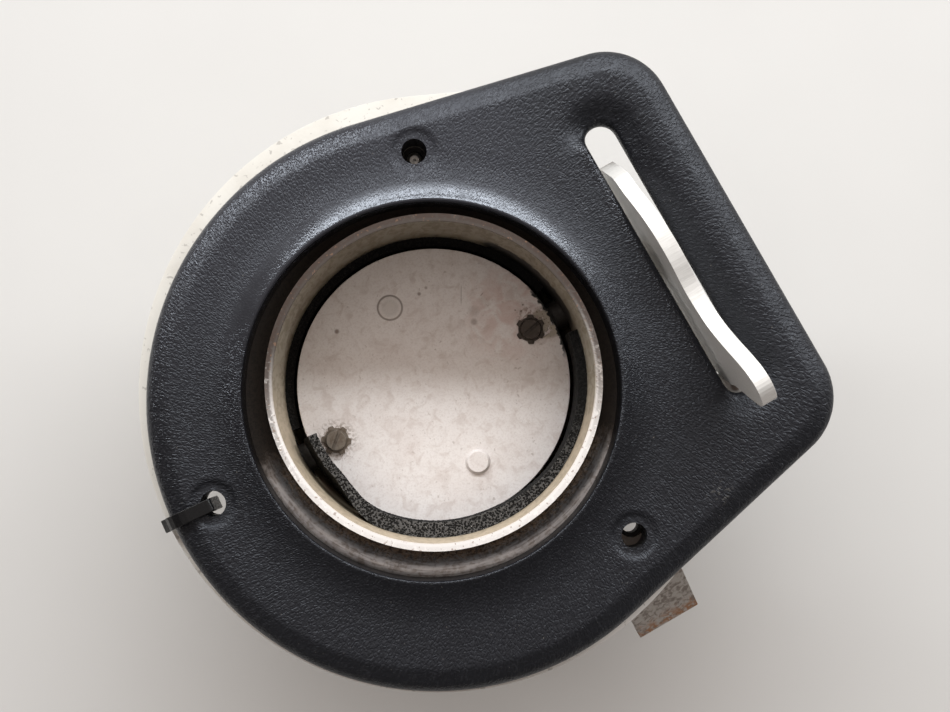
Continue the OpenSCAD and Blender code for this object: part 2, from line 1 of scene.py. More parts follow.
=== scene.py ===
# %% [markdown]
# # A cabin air vent with a butterfly disc
# The real vent is a round metal duct with a disc in it. A thumb lever turns the disc to let air through,
# and a moulded black cover with a leather grain hides the mounting plate. The metal parts come from the
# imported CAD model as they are, because their shapes are exact. Only what CAD can't give is made here: the
# soft rolled skin of the cover, the porous foam, domed rivets, and the finish of every surface.

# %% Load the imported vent
import math

import bmesh
import bpy
import numpy as np
from mathutils import Matrix, Vector, noise
from mathutils.geometry import delaunay_2d_cdt


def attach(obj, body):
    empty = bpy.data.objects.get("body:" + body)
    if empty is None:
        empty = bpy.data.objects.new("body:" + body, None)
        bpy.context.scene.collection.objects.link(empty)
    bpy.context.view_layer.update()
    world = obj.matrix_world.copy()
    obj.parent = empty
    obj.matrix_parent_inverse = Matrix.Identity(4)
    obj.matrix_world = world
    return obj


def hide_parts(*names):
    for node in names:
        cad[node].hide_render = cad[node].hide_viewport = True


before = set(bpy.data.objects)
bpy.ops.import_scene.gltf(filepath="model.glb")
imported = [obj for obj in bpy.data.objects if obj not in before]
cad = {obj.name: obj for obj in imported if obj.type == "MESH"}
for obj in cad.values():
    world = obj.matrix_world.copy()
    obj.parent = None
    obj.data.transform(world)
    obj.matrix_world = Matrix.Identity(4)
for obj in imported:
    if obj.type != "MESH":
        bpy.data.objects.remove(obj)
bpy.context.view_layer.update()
MM = 0.001
SAME_PLACE = 0.002 * MM

# %% [markdown]
# ## The camera
# The photograph looks almost straight into the duct, from about a third of a metre away. The camera could
# be aimed by eye, but the duct's rim, the disc and the corners of the cover were measured in the picture,
# so its place and direction are known to about a pixel and are written as numbers.

# %% Place the camera
CAMERA_PLACE = Vector((-4.462, -6.141, 374.385)) * MM
TIP_X = 0.0443
TIP_Y = 0.0208
PICTURE_TURN = -0.5192
SENSOR_WIDTH = 36
LENS = 60.63
looking = Vector((math.tan(TIP_X), math.tan(TIP_Y), -1)).normalized()
towards_camera = -looking
picture_right = Vector((math.cos(PICTURE_TURN), math.sin(PICTURE_TURN), 0))
picture_right = (picture_right - looking * picture_right.dot(looking)).normalized()
picture_up = picture_right.cross(looking)

camera_data = bpy.data.cameras.new("camera")
camera_data.sensor_width = SENSOR_WIDTH
camera_data.lens = LENS
camera = bpy.data.objects.new("camera", camera_data)
turn = Matrix((picture_right, picture_up, towards_camera)).transposed().to_4x4()
camera.matrix_world = Matrix.Translation(CAMERA_PLACE) @ turn
bpy.context.collection.objects.link(camera)
bpy.context.scene.camera = camera
print("camera height in mm:", round(CAMERA_PLACE.z / MM, 1))

# %% [markdown]
# ## The light
# In the photograph the light comes from the top of the picture, so the duct's upper wall throws a soft
# shadow over the upper half of the disc. One long, low lamp gives that shadow. It is low, because a taller
# one would lose the shadow's edge, and long, because the cover's lip shines in the picture over a third of
# its round. The world fills the rest and is brightest towards the top of the picture and behind the camera.

# %% Light the vent
VENT_MIDDLE = Vector((5, 0, 50)) * MM
LAMP_COLOR = (0.94, 0.98, 1.0)
WORLD_COLOR = (0.56, 0.5, 0.465, 1)
towards_window = picture_up * 0.795 + picture_right * 0.05 + towards_camera * 0.605


def lamp(name, direction, distance, width, height, power):
    """An area lamp that shines from a direction on the middle of the vent."""
    data = bpy.data.lights.new(name, "AREA")
    data.shape = "RECTANGLE"
    data.size = width
    data.size_y = height
    data.energy = power
    data.color = LAMP_COLOR
    obj = bpy.data.objects.new(name, data)
    direction = direction.normalized()
    obj.location = VENT_MIDDLE + direction * distance
    obj.rotation_euler = direction.to_track_quat("Z", "Y").to_euler()
    bpy.context.collection.objects.link(obj)


lamp("window", towards_window, distance=0.9, width=2.8, height=0.1, power=23.8)

world = bpy.data.worlds.new("studio")
world.use_nodes = True
sky = world.node_tree
background = sky.nodes["Background"]
background.inputs["Color"].default_value = WORLD_COLOR


def glow(towards, low, high, dim, bright):
    """How bright the world is, by the cosine of the angle to a direction."""
    coords = sky.nodes.new("ShaderNodeTexCoord")
    cosine = sky.nodes.new("ShaderNodeVectorMath")
    cosine.operation = "DOT_PRODUCT"
    cosine.inputs[1].default_value = towards
    ramp = sky.nodes.new("ShaderNodeMapRange")
    ramp.interpolation_type = "SMOOTHSTEP"
    sky.links.new(coords.outputs["Generated"], cosine.inputs[0])
    sky.links.new(cosine.outputs["Value"], ramp.inputs["Value"])
    for name, number in (("From Min", low), ("From Max", high), ("To Min", dim), ("To Max", bright)):
        ramp.inputs[name].default_value = number
    return ramp.outputs["Result"]


both = sky.nodes.new("ShaderNodeMath")
both.operation = "ADD"
sky.links.new(glow(picture_up, low=-0.45, high=0.75, dim=0.3, bright=1.5), both.inputs[0])
sky.links.new(glow(towards_camera, low=0.7, high=0.97, dim=0.0, bright=0.5), both.inputs[1])
sky.links.new(both.outputs[0], background.inputs["Strength"])
bpy.context.scene.world = world
bpy.context.scene.view_settings.view_transform = "Standard"

# %% [markdown]
# ## A small kit for finishes
# Every finish here is a pattern in the material's nodes. Each starts from the piece's own coordinates,
# scaled so that one unit is a millimetre, which makes a scale of 1 mean a grain of about one millimetre.
# The class keeps the wiring short. The same nodes could be placed by hand in the shader editor.

# %% Define the finish kit


class Finish:
    """A material that is built up from patterns in millimetres."""

    def __init__(self, name, color, roughness, metallic=0.0, specular=0.5):
        self.material = bpy.data.materials.new(name)
        self.material.use_nodes = True
        self.tree = self.material.node_tree
        self.shader = self.tree.nodes["Principled BSDF"]
        self.shader.inputs["Base Color"].default_value = (*color, 1)
        self.shader.inputs["Roughness"].default_value = roughness
        self.shader.inputs["Metallic"].default_value = metallic
        self.shader.inputs["Specular IOR Level"].default_value = specular
        coords = self.tree.nodes.new("ShaderNodeTexCoord")
        self.mm = self.stretch((1000, 1000, 1000), coords.outputs["Object"])
        self.color = (*color, 1)

    def put(self, socket, value):
        """Links a socket to another node's output, or sets its number or colour."""
        if isinstance(value, bpy.types.NodeSocket):
            self.tree.links.new(value, socket)
        elif isinstance(value, (tuple, list)) and socket.type == "RGBA":
            socket.default_value = (*value[:3], 1)
        else:
            socket.default_value = value

    def stretch(self, scale, vector=None, turn=(0, 0, 0)):
        """Scaled and turned coordinates. A bigger scale makes a finer pattern."""
        node = self.tree.nodes.new("ShaderNodeMapping")
        self.put(node.inputs["Vector"], vector or self.mm)
        node.inputs["Scale"].default_value = scale
        node.inputs["Rotation"].default_value = turn
        return node.outputs["Vector"]

    def noise(self, scale, detail=3.0, vector=None, warp=0.0, output="Fac"):
        node = self.tree.nodes.new("ShaderNodeTexNoise")
        self.put(node.inputs["Vector"], vector or self.mm)
        node.inputs["Scale"].default_value = scale
        node.inputs["Detail"].default_value = detail
        node.inputs["Distortion"].default_value = warp
        return node.outputs[output]

    def cells(self, scale, vector=None, feature="F1"):
        node = self.tree.nodes.new("ShaderNodeTexVoronoi")
        node.feature = feature
        self.put(node.inputs["Vector"], vector or self.mm)
        node.inputs["Scale"].default_value = scale
        return node.outputs["Distance"]

    def math(self, kind, a, b=0.0, c=0.0):
        node = self.tree.nodes.new("ShaderNodeMath")
        node.operation = kind
        for socket, value in zip(node.inputs, (a, b, c)):
            self.put(socket, value)
        return node.outputs[0]

    def times(self, first, *others):
        for other in others:
            first = self.math("MULTIPLY", first, other)
        return first

    def plus(self, a, b):
        return self.math("ADD", a, b)

    def span(self, value, low, high, to_low=0.0, to_high=1.0):
        """Turns low..high into to_low..to_high, with soft ends."""
        node = self.tree.nodes.new("ShaderNodeMapRange")
        node.interpolation_type = "SMOOTHSTEP"
        for socket, number in zip(node.inputs[:5], (value, low, high, to_low, to_high)):
            self.put(socket, number)
        return node.outputs["Result"]

    def patchy(self, scale, low, high, detail=3):
        """A value that wanders between low and high."""
        return self.span(self.noise(scale, detail), 0.3, 0.7, low, high)

    def axis(self, letter):
        node = self.tree.nodes.new("ShaderNodeSeparateXYZ")
        self.put(node.inputs[0], self.mm)
        return node.outputs[letter]

    def spot(self, place, radius, soft):
        """1 at a place on the piece, 0 beyond the radius, with a soft edge."""
        node = self.tree.nodes.new("ShaderNodeVectorMath")
        node.operation = "DISTANCE"
        self.put(node.inputs[0], self.mm)
        node.inputs[1].default_value = place
        return self.span(node.outputs["Value"], radius - soft, radius, 1, 0)

    def streak(self, place, turn, length, width):
        """1 on a thin oval mark at a place, turned by an angle in degrees, and 0 round it."""
        node = self.tree.nodes.new("ShaderNodeMapping")
        node.vector_type = "TEXTURE"
        self.put(node.inputs["Vector"], self.mm)
        node.inputs["Location"].default_value = place
        node.inputs["Rotation"].default_value = (0, 0, math.radians(turn))
        node.inputs["Scale"].default_value = (length / 2, width / 2, 2)
        size = self.tree.nodes.new("ShaderNodeVectorMath")
        size.operation = "LENGTH"
        self.put(size.inputs[0], node.outputs["Vector"])
        return self.span(size.outputs["Value"], 0.6, 1, 1, 0)

    def outwards(self, middle, at):
        """Coordinates that run away from an upright line and round it, true to size at one distance."""
        node = self.tree.nodes.new("ShaderNodeCombineXYZ")
        run = self.math("LOGARITHM", self.ring_distance(middle), math.e)
        angle = self.math("ARCTAN2", self.axis("Y"), self.axis("X"))
        self.put(node.inputs["X"], self.times(run, at))
        self.put(node.inputs["Y"], self.times(angle, at))
        self.put(node.inputs["Z"], self.axis("Z"))
        return node.outputs["Vector"]

    def ring_distance(self, middle):
        """Distance from an upright line through the middle, in millimetres."""
        flat = self.stretch((1, 1, 0))
        node = self.tree.nodes.new("ShaderNodeVectorMath")
        node.operation = "DISTANCE"
        self.put(node.inputs[0], flat)
        node.inputs[1].default_value = (middle[0], middle[1], 0)
        return node.outputs["Value"]

    def mix(self, factor, a, b):
        node = self.tree.nodes.new("ShaderNodeMix")
        node.data_type = "RGBA"
        self.put(node.inputs[0], factor)
        self.put(node.inputs[6], a)
        self.put(node.inputs[7], b)
        return node.outputs[2]

    def tint(self, mask, color, strength=None):
        """Lays a colour over what the finish has so far, where the mask is above 0."""
        factor = mask if strength is None else self.times(mask, strength)
        self.color = self.mix(factor, self.color, (*color, 1))

    def rough(self, value):
        self.put(self.shader.inputs["Roughness"], value)

    def metal(self, value):
        self.put(self.shader.inputs["Metallic"], value)

    def bump(self, *layers):
        """Layers of (height, depth in millimetres), one on top of the other."""
        below = None
        for height, depth in layers:
            node = self.tree.nodes.new("ShaderNodeBump")
            node.inputs["Distance"].default_value = depth * MM
            self.put(node.inputs["Height"], height)
            if below:
                self.tree.links.new(below, node.inputs["Normal"])
            below = node.outputs["Normal"]
        self.tree.links.new(below, self.shader.inputs["Normal"])

    def done(self):
        self.put(self.shader.inputs["Base Color"], self.color)
        return self.material


print("finish kit ready")

# %% [markdown]
# ## The floor
# A plain pale floor keeps the eye on the vent. The vent stands on the rear end of its duct, as the CAD
# model does, so the floor lies at height zero.

# %% Lay the floor
floor_finish = Finish("pale_floor", (0.6, 0.59, 0.575), 0.9)
floor_finish.tint(floor_finish.noise(0.02, 2), (0.56, 0.55, 0.535))
bpy.ops.mesh.primitive_plane_add(size=4)
floor = bpy.context.object
floor.name = "floor"
floor.data.materials.append(floor_finish.done())
print("floor laid")

# %% [markdown]
# ## The cover's shape
# The cover is a thin moulding. Its outer edge slopes in a shoulder and then rounds over, a lip swells up
# round the duct, and beside the lever the skin rolls down into the slot as if it were pulled in. In CAD
# such a soft roll is hard to make, but as a height above each point of a flat outline it is one short
# function. So the outlines are filled with triangles first, and every point is then lifted to the height
# of the skin there.

# %% Measure the cover's outlines
SLIP = (-1.2, -1.3)
ROUND_R = 58
REACH = 71.5
CORNER_R = 13.4
SIDE_LEAN = 12.7
OUTLINE_DROP = 2
PLATE_TOP = 48.5
FACE = 57.5
WALL = 2.2
THINNER_TOP = 0.4
SHOULDER = 5.2
SHOULDER_SLOPE = 0.4
SHOULDER_EASE = 1.12
EDGE_ROUND = 2.0
LIP_R = 37.4
LIP_RISE = 2.4
LIP_WIDTH = 9.7
NOSE = 0.75
SKIRT = 51.5
SLOT = (54.6, -0.55)
SLOT_LENGTH = 61.2
SLOT_WIDTH = 6.8
SLOT_HALF = (SLOT_LENGTH - SLOT_WIDTH) / 2
SLOT_WALL = 1.6
SLOT_FLOOR = 52.5
SLOT_ROLL = 2.6
LOWER_ROLL = 0.55
ROLL_WIDTH = 7.5
SLOT_EDGE = 1.3
HOLE_R = 2.55
BOSS_R = 4.3
DIMPLE = 0.5
DIMPLE_R = 3.6
DIMPLE_EASE = 1.6
SCREW_RING_R = 48.6
screws = [(SCREW_RING_R * math.cos(math.radians(a)), SCREW_RING_R * math.sin(math.radians(a)) - 0.8)
          for a in (65, -65, 176.6)]


def arc(middle, radius, start, end, count):
    angles = np.radians(np.linspace(start, end, count))
    return np.stack([middle[0] + radius * np.cos(angles), middle[1] + radius * np.sin(angles)], 1)


def ring(middle, radius, count):
    return arc(middle, radius, 0, 360, count + 1)[:-1]


def resample(loop, count):
    """The same closed loop with evenly spaced points."""
    closed = np.vstack([loop, loop[:1]])
    run = np.concatenate([[0], np.cumsum(np.linalg.norm(np.diff(closed, axis=0), axis=1))])
    at = np.linspace(0, run[-1], count, endpoint=False)
    return np.stack([np.interp(at, run, closed[:, 0]), np.interp(at, run, closed[:, 1])], 1)


def cover_outline(inset, count=400):
    """Round at one end and squared at the other, with two rounded corners."""
    radius = ROUND_R - inset
    corner = CORNER_R - inset
    side = 90 - SIDE_LEAN
    cx = REACH - inset - corner
    cy = (radius - corner - cx * math.cos(math.radians(side))) / math.sin(math.radians(side))
    parts = [arc((0, 0), radius, side, 360 - side, 240), arc((cx, -cy), corner, -side, 0, 40),
             arc((cx, cy), corner, 0, side, 40)]
    return resample(np.vstack(parts), count) + (0, -OUTLINE_DROP)


def slot_outline(grow, count=160):
    radius = SLOT_WIDTH / 2 + grow
    x, y = SLOT
    ends = [arc((x, y + SLOT_HALF), radius, 0, 180, 60), arc((x, y - SLOT_HALF), radius, 180, 360, 60)]
    return resample(np.vstack(ends), count)


print("cover:", np.ptp(cover_outline(0), axis=0).round(1), "mm")

# %% Say how high the skin is


def ease(t):
    t = np.clip(t, 0, 1)
    return t * t * (3 - 2 * t)


def room_inside(points, outline):
    """How far each point lies inside an outline, in millimetres."""
    along = np.roll(outline, -1, axis=0) - outline
    inward = np.stack([-along[:, 1], along[:, 0]], 1) / np.linalg.norm(along, axis=1)[:, None]
    return np.min(points @ inward.T - np.sum(outline * inward, 1), axis=1)


def from_slot(points):
    """How far each point lies from the slot's middle line: sideways, lengthways and straight."""
    dx = points[:, 0] - SLOT[0]
    dy = points[:, 1] - SLOT[1]
    dy = dy - np.clip(dy, -SLOT_HALF, SLOT_HALF)
    return dx, dy, np.hypot(dx, dy)


def skin_height(p):
    """Height of the cover's outer skin above each point, in millimetres."""
    inside = room_inside(p, cover_outline(0))
    eased = np.clip((SHOULDER - inside) / SHOULDER_EASE, 0, 1)
    z = FACE - SHOULDER_SLOPE * SHOULDER_EASE * (eased ** 3 - eased ** 4 / 2)
    sloped = SHOULDER - SHOULDER_EASE - EDGE_ROUND
    z -= SHOULDER_SLOPE * np.clip(SHOULDER - SHOULDER_EASE - inside, 0, sloped)
    tilt = math.atan(SHOULDER_SLOPE)
    radius = EDGE_ROUND / (1 - math.sin(tilt))
    sine = np.clip(math.sin(tilt) + np.clip(EDGE_ROUND - inside, 0, EDGE_ROUND) / radius, 0, 1)
    z -= radius * (math.cos(tilt) - np.sqrt(1 - sine ** 2))

    r = np.hypot(p[:, 0], p[:, 1])
    up_slope = np.clip((LIP_R + LIP_WIDTH - r) / LIP_WIDTH, 0, 1)
    z += LIP_RISE * up_slope ** 2
    nose = np.clip(LIP_R + NOSE - r, 0, NOSE)
    z -= NOSE - np.sqrt(NOSE ** 2 - nose ** 2)

    dx, dy, far = from_slot(p)
    off = far - SLOT_WIDTH / 2
    right = ease(0.5 + 0.5 * dx / np.maximum(far, 0.01))
    top = ease(np.clip(dy, 0, None) / np.maximum(far, 0.01))
    bottom = ease(np.clip(-dy, 0, None) / np.maximum(far, 0.01))
    soft = np.maximum.reduce([right, top, LOWER_ROLL * bottom])
    z -= soft * SLOT_ROLL * (1 - ease(off / ROLL_WIDTH)) ** 1.5
    z -= SLOT_EDGE - np.sqrt(SLOT_EDGE ** 2 - np.clip(SLOT_EDGE - off, 0, SLOT_EDGE) ** 2)

    for x, y in screws:
        away = np.hypot(p[:, 0] - x, p[:, 1] - y)
        z -= DIMPLE * (1 - ease((away - DIMPLE_R) / DIMPLE_EASE))
    return z


print("heights:", skin_height(np.array([[0, -50.0], [38.5, 0], [60.0, 0]])).round(2))

# %% Fill the outlines and stitch the walls
CELL = 0.8
SKIN_PITCH = 1.35
INSIDE_PITCH = 3.0
GRID_X = (-60, 74)
GRID_Y = (-62, 60)
HEX_ROW = 0.866
LIP_POINTS = 300
HOLE_POINTS = 56
EDGE_INSETS = (0.12, 0.35, 0.7, 1.1, 1.55, 2.0, 2.7, 3.4, 4.1, 4.6, 5.2)
NOSE_TURNS = (20, 36, 50, 62, 74, 90)
LIP_STEPS = np.arange(0.5, 9.2, 0.7)
SLOT_STEPS = (0.12, 0.3, 0.55, 0.85, 1.3, 1.9, 2.7, 3.6, 4.6, 5.8, 7.2)
HOLE_STEPS = (0.5, 0.95, 1.3, 1.6, 1.9, 2.2, 2.6, 3.1)
EDGE_ROW = 51
LIP_ROW = 55


def fill(loops, others):
    """Triangles between convex loops, the first one outside. Other points go where nothing is near."""
    taken = {}
    points = []
    owner = []
    fixed = []
    for number, loop in enumerate(loops):
        first = len(points)
        for i, p in enumerate(loop):
            points.append(p)
            owner.append(number)
            fixed.append((first + i, first + (i + 1) % len(loop)))
            taken.setdefault((int(p[0] // CELL), int(p[1] // CELL)), []).append(p)
    for group, gap in others:
        for p in group:
            cell = (int(p[0] // CELL), int(p[1] // CELL))
            near = [q for i in (-1, 0, 1) for j in (-1, 0, 1)
                    for q in taken.get((cell[0] + i, cell[1] + j), ())]
            if all((q[0] - p[0]) ** 2 + (q[1] - p[1]) ** 2 > gap * gap for q in near):
                points.append(p)
                owner.append(-1)
                taken.setdefault(cell, []).append(p)
    flat = [Vector((float(p[0]), float(p[1]))) for p in points]
    verts, _, faces, origin, _, _ = delaunay_2d_cdt(flat, fixed, [], 0, 1e-5)
    belongs = [owner[o[0]] if o else -1 for o in origin]
    kept = []
    for face in faces:
        kinds = {belongs[i] for i in face}
        if len(kinds) > 1 or -1 in kinds:
            kept.append(face)
    return np.array([(v.x, v.y) for v in verts]), kept


def on_cover(points, room):
    """The points that lie on the cover, this far from every edge of it."""
    ok = room_inside(points, cover_outline(room, 200)) > 0
    ok &= np.hypot(points[:, 0], points[:, 1]) > LIP_R + room
    ok &= from_slot(points)[2] > SLOT_WIDTH / 2 + room
    for x, y in screws:
        ok &= np.hypot(points[:, 0] - x, points[:, 1] - y) > HOLE_R + room
    return points[ok]


def hex_grid(pitch):
    """Rows of points, each row half a pitch along from the last."""
    rows = np.arange(*GRID_Y, pitch * HEX_ROW)
    return np.array([(x + (i % 2) * pitch / 2, y) for i, y in enumerate(rows)
                     for x in np.arange(*GRID_X, pitch)])


def build_cover():
    """The whole cover as a closed mesh: the skin, the inside under it and the walls between them."""
    mesh = bmesh.new()

    def place(points, heights):
        return [mesh.verts.new(((x + SLIP[0]) * MM, (y + SLIP[1]) * MM, z * MM))
                for (x, y), z in zip(points, heights)]

    def wall(*levels):
        """Joins loops of equal count, each with its height."""
        rows = [place(loop, np.broadcast_to(z, len(loop))) for loop, z in levels]
        for upper, lower in zip(rows, rows[1:]):
            for i in range(len(upper)):
                j = (i + 1) % len(upper)
                mesh.faces.new((upper[i], upper[j], lower[j], lower[i]))

    def under(p):
        return np.minimum(skin_height(p), FACE + LIP_RISE) - WALL + THINNER_TOP

    # Each loop comes with the gap that its points keep from the points before them.
    nose_rings = [LIP_R + NOSE * (1 - math.cos(math.radians(a))) for a in NOSE_TURNS]
    nose_loops = [(ring((0, 0), r, LIP_POINTS), 0.02) for r in nose_rings]
    lip_loops = [(ring((0, 0), LIP_R + NOSE + d, LIP_POINTS), 0.3) for d in LIP_STEPS]
    edge_loops = [(cover_outline(d), 0.25) for d in EDGE_INSETS]
    slot_loops = [(slot_outline(d), 0.12) for d in SLOT_STEPS]
    hole_loops = [(ring(m, HOLE_R + d, HOLE_POINTS), 0.15) for m in screws for d in HOLE_STEPS]
    others = [(on_cover(loop, 0.03), gap) for loop, gap in nose_loops + slot_loops[:4]]
    wide_loops = edge_loops + slot_loops[4:] + hole_loops + lip_loops
    others += [(on_cover(loop, 0.25), gap) for loop, gap in wide_loops]
    others.append((on_cover(hex_grid(SKIN_PITCH), 0.9), 0.8))

    outer = [cover_outline(0), ring((0, 0), LIP_R, LIP_POINTS), slot_outline(0)]
    outer += [ring(m, HOLE_R, HOLE_POINTS) for m in screws]
    points, faces = fill(outer, others)
    skin = place(points, skin_height(points))
    for face in faces:
        mesh.faces.new([skin[i] for i in face])

    inner = [cover_outline(WALL), ring((0, 0), LIP_R + WALL, LIP_POINTS), slot_outline(SLOT_WALL)]
    inner += [ring(m, BOSS_R, HOLE_POINTS) for m in screws]
    points, faces = fill(inner, [(on_cover(hex_grid(INSIDE_PITCH), 3.4), 1.0)])
    below = place(points, under(points))
    for face in faces:
        mesh.faces.new([below[i] for i in reversed(face)])

    wall((outer[0], skin_height(outer[0])), (outer[0], EDGE_ROW), (outer[0], PLATE_TOP),
         (inner[0], PLATE_TOP), (inner[0], under(inner[0])))
    wall((outer[1], skin_height(outer[1])), (outer[1], LIP_ROW), (outer[1], SKIRT),
         (inner[1], SKIRT), (inner[1], under(inner[1])))
    wall((outer[2], skin_height(outer[2])), (outer[2], SLOT_FLOOR),
         (inner[2], SLOT_FLOOR), (inner[2], under(inner[2])))
    for hole, boss in zip(outer[3:], inner[3:]):
        wall((hole, skin_height(hole)), (hole, PLATE_TOP), (boss, PLATE_TOP), (boss, under(boss)))
    bmesh.ops.remove_doubles(mesh, verts=mesh.verts, dist=SAME_PLACE)
    bmesh.ops.recalc_face_normals(mesh, faces=mesh.faces)
    return mesh


def to_object(mesh, name, finish, angle):
    """A smooth shaded object from a bmesh. Edges sharper than the angle in degrees stay sharp."""
    data = bpy.data.meshes.new(name)
    mesh.to_mesh(data)
    mesh.free()
    data.polygons.foreach_set("use_smooth", [True] * len(data.polygons))
    data.set_sharp_from_angle(angle=math.radians(angle))
    data.materials.append(finish)
    obj = bpy.data.objects.new(name, data)
    bpy.context.collection.objects.link(obj)
    return obj


cover_mesh = build_cover()
open_edges = sum(1 for e in cover_mesh.edges if len(e.link_faces) != 2)
print("cover faces:", len(cover_mesh.faces), "open edges:", open_edges)

# %% [markdown]
# ## The cover's finish
# The moulding has a fine leather grain: short strokes, a third of a millimetre wide, that point away from
# the duct at a slant, over small pebbles. The strokes are noise stretched along coordinates that run
# outwards and round, so they turn with the cover. The plastic is almost black with a soft gloss, and a
# painted sheen greys the side near the window, in place of the window's reflection. Hands have polished
# the lip, the outer shoulder and the strip beside the lever, where the window shines back.

# %% Finish the cover
leather = Finish("black_leather_grain", (0.0055, 0.0059, 0.0078), 0.45, specular=0.42)
leather.shader.inputs["Specular Tint"].default_value = (0.87, 0.91, 1, 1)
across = leather.axis("X")
along = leather.axis("Y")
from_duct = leather.ring_distance(SLIP)
from_middle = leather.ring_distance((SLIP[0], SLIP[1] - OUTLINE_DROP))
to_window = leather.plus(along, leather.times(across, 0.3))

slanted = leather.stretch((1, 1, 1), leather.outwards(SLIP, 48.0), (0, 0, math.radians(20)))
strokes = leather.noise(1.0, 1.5, leather.stretch((0.5, 2.8, 0.5), slanted), warp=0.35)
bent = leather.tree.nodes.new("ShaderNodeVectorMath")
bent.operation = "MULTIPLY_ADD"
leather.put(bent.inputs[0], leather.noise(0.9, 2, output="Color"))
bent.inputs[1].default_value = (0.9, 0.9, 0.9)
leather.put(bent.inputs[2], slanted)
pebble_cells = leather.cells(1.5, leather.stretch((0.7, 1.2, 0.5), bent.outputs[0]), "DISTANCE_TO_EDGE")
pebbles = leather.span(pebble_cells, 0.0, 0.3)
creases = leather.noise(0.85, 3, warp=0.8)

# Painted sheen: a lighter grey on the side towards the window, in place of the window's reflection.
painted_window_sheen = leather.times(leather.span(to_window, 0, 50), leather.span(across, 52, 30))
leather.tint(painted_window_sheen, (0.022, 0.0225, 0.028), 0.8)
crests = leather.times(leather.span(strokes, 0.5, 0.68), leather.span(pebbles, 0.2, 0.9, 0.3, 1))
leather.tint(crests, (0.02, 0.021, 0.0245), 0.6)
flecks = leather.span(leather.noise(1.9, 2), 0.745, 0.775)
leather.tint(flecks, (0.2, 0.185, 0.165), 0.6)
scuff = leather.times(leather.spot((38.4, -47.1, FACE), 3.6, 2.5),
                      leather.span(leather.noise(1.4, 3), 0.56, 0.64))
leather.tint(scuff, (0.2, 0.19, 0.17), 0.25)

lip_gloss = leather.times(leather.span(from_duct, 44.0, 39.0), leather.span(along, -5, 18, 0.35, 1))
by_slot = leather.times(leather.span(across, 46.6, 49.0), leather.span(across, 51.2, 50.4),
                        leather.span(along, -30.0, -22.0), leather.span(along, 29.0, 25.0))
shoulder_gloss = leather.times(leather.span(from_middle, 51.0, 56.0), leather.span(across, 20.0, 10.0),
                               leather.span(along, -15.0, 10.0))
gloss = leather.plus(leather.times(lip_gloss, 0.27), leather.times(by_slot, 0.18))
gloss = leather.plus(gloss, leather.times(shoulder_gloss, 0.2))
leather.rough(leather.math("SUBTRACT", leather.patchy(0.25, 0.4, 0.48), gloss))
polished = leather.times(leather.span(from_duct, 43.4, 41.2), leather.span(to_window, 8, 24))
grain = leather.math("SUBTRACT", 1.0, leather.times(polished, 0.84))
leather.bump((leather.times(creases, by_slot), 0.15), (leather.times(pebbles, grain), 0.06),
             (leather.times(strokes, grain), 0.11))
leather_finish = leather.done()

cover = to_object(cover_mesh, "cover_skin", leather_finish, 50)
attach(cover, "housing")
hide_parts("bezel")
print("cover box:", [round(v / MM, 1) for v in cover.dimensions])

# %% [markdown]
# ## The foam seals
# Two strips of open foam are glued to the duct's wall, one in front of the disc and one behind it. The
# disc closes against them. The front one has let go at one end, where it bulges and stands off the wall.
# A strip is a rectangle carried round an arc, so its points come from two loops, and its torn, porous
# surface from cells of noise that push each point in or out.

# %% Shape the foam seals
SHAFT_Z = 29.825
DISC_ROOM = 29.62
STRIP_WALL_R = 31.7
STRIP = 2.0
STRIP_HEIGHT = 10.4
FOOT_DEPTH = 0.53
GLUE_GAP = 0.03
INNER_TRIM = 0.12
PEEL = 3.6
PEEL_LEAN = 1.9
PEEL_FROM = 220
PEEL_RUN = 28
BULGE = 1.3
BULGE_FROM = 192
BULGE_TO = 300
BULGE_RUN = 40
ROWS_A_DEGREE = 1.7
ACROSS = 6
UPWARDS = 26
PORE_SCALE = 1.5
PORE_DEPTH = 0.16
WAVE_SCALE = 2.3
WAVE_DEPTH = 0.1
FRAY_SCALE = 2.1
FRAY_DEPTH = 0.12
STILL_WALL = 0.3

section = [(k / ACROSS, 1.0) for k in range(ACROSS)] + [(1.0, 1 - k / UPWARDS) for k in range(UPWARDS)]
section += [(1 - k / ACROSS, 0.0) for k in range(ACROSS)] + [(0.0, k / UPWARDS) for k in range(UPWARDS)]


def soft_step(t):
    t = min(1.0, max(0.0, t))
    return t * t * (3 - 2 * t)


def front_outer(angle, up):
    """The loose end stands off the wall, most of all at its front edge, where up is 1."""
    return STRIP_WALL_R - (PEEL - PEEL_LEAN * (1 - up)) * soft_step((PEEL_FROM - angle) / PEEL_RUN)


def front_inner(angle, up):
    bulge = BULGE * soft_step((BULGE_TO - angle) / BULGE_RUN) * soft_step((angle - BULGE_FROM) / PEEL_RUN)
    return front_outer(angle, up) - STRIP - bulge


